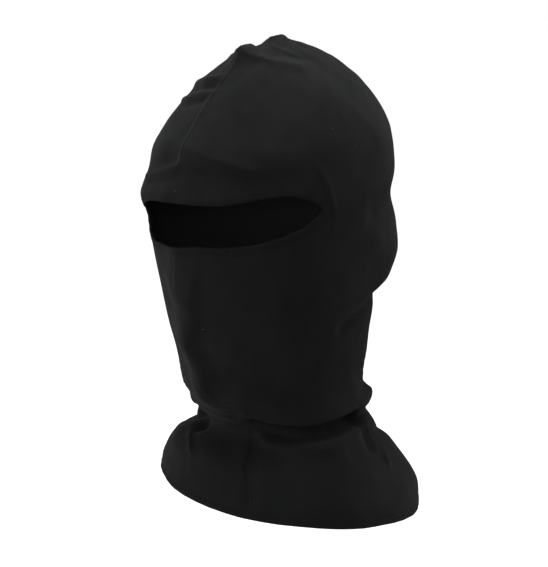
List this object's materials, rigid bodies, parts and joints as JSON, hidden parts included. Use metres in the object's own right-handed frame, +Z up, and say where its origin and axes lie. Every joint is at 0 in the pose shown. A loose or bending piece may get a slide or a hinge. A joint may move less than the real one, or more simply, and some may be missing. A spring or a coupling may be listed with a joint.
{
  "type": "silk balaclava",
  "caption": "Knitted silk hood that covers the head, face and neck, with a wide opening for the eyes and a flared skirt over the collar.",
  "frame": {"origin": "the seat on the inside of the crown, over the axis of the neck, where the top of the head bears", "axes": "+Z up out of the crown, -Y out of the face, +X toward the wearer's left"},
  "size_m": [0.1906, 0.2492, 0.3823],
  "materials": {
    "left_panel": "matt black fine silk jersey",
    "right_panel": "matt black fine silk jersey",
    "crown_seam": "raised seam in black silk jersey",
    "front_seam": "flat seam in black silk jersey",
    "eye_band": "folded band of black silk jersey",
    "neck_hem": "rolled hem in black silk jersey"
  },
  "bodies": {
    "root": {"left_panel": "left_panel", "right_panel": "right_panel", "crown_seam": "crown_seam", "front_seam": "front_seam", "eye_band": "eye_band", "neck_hem": "neck_hem"}
  },
  "joints": []
}
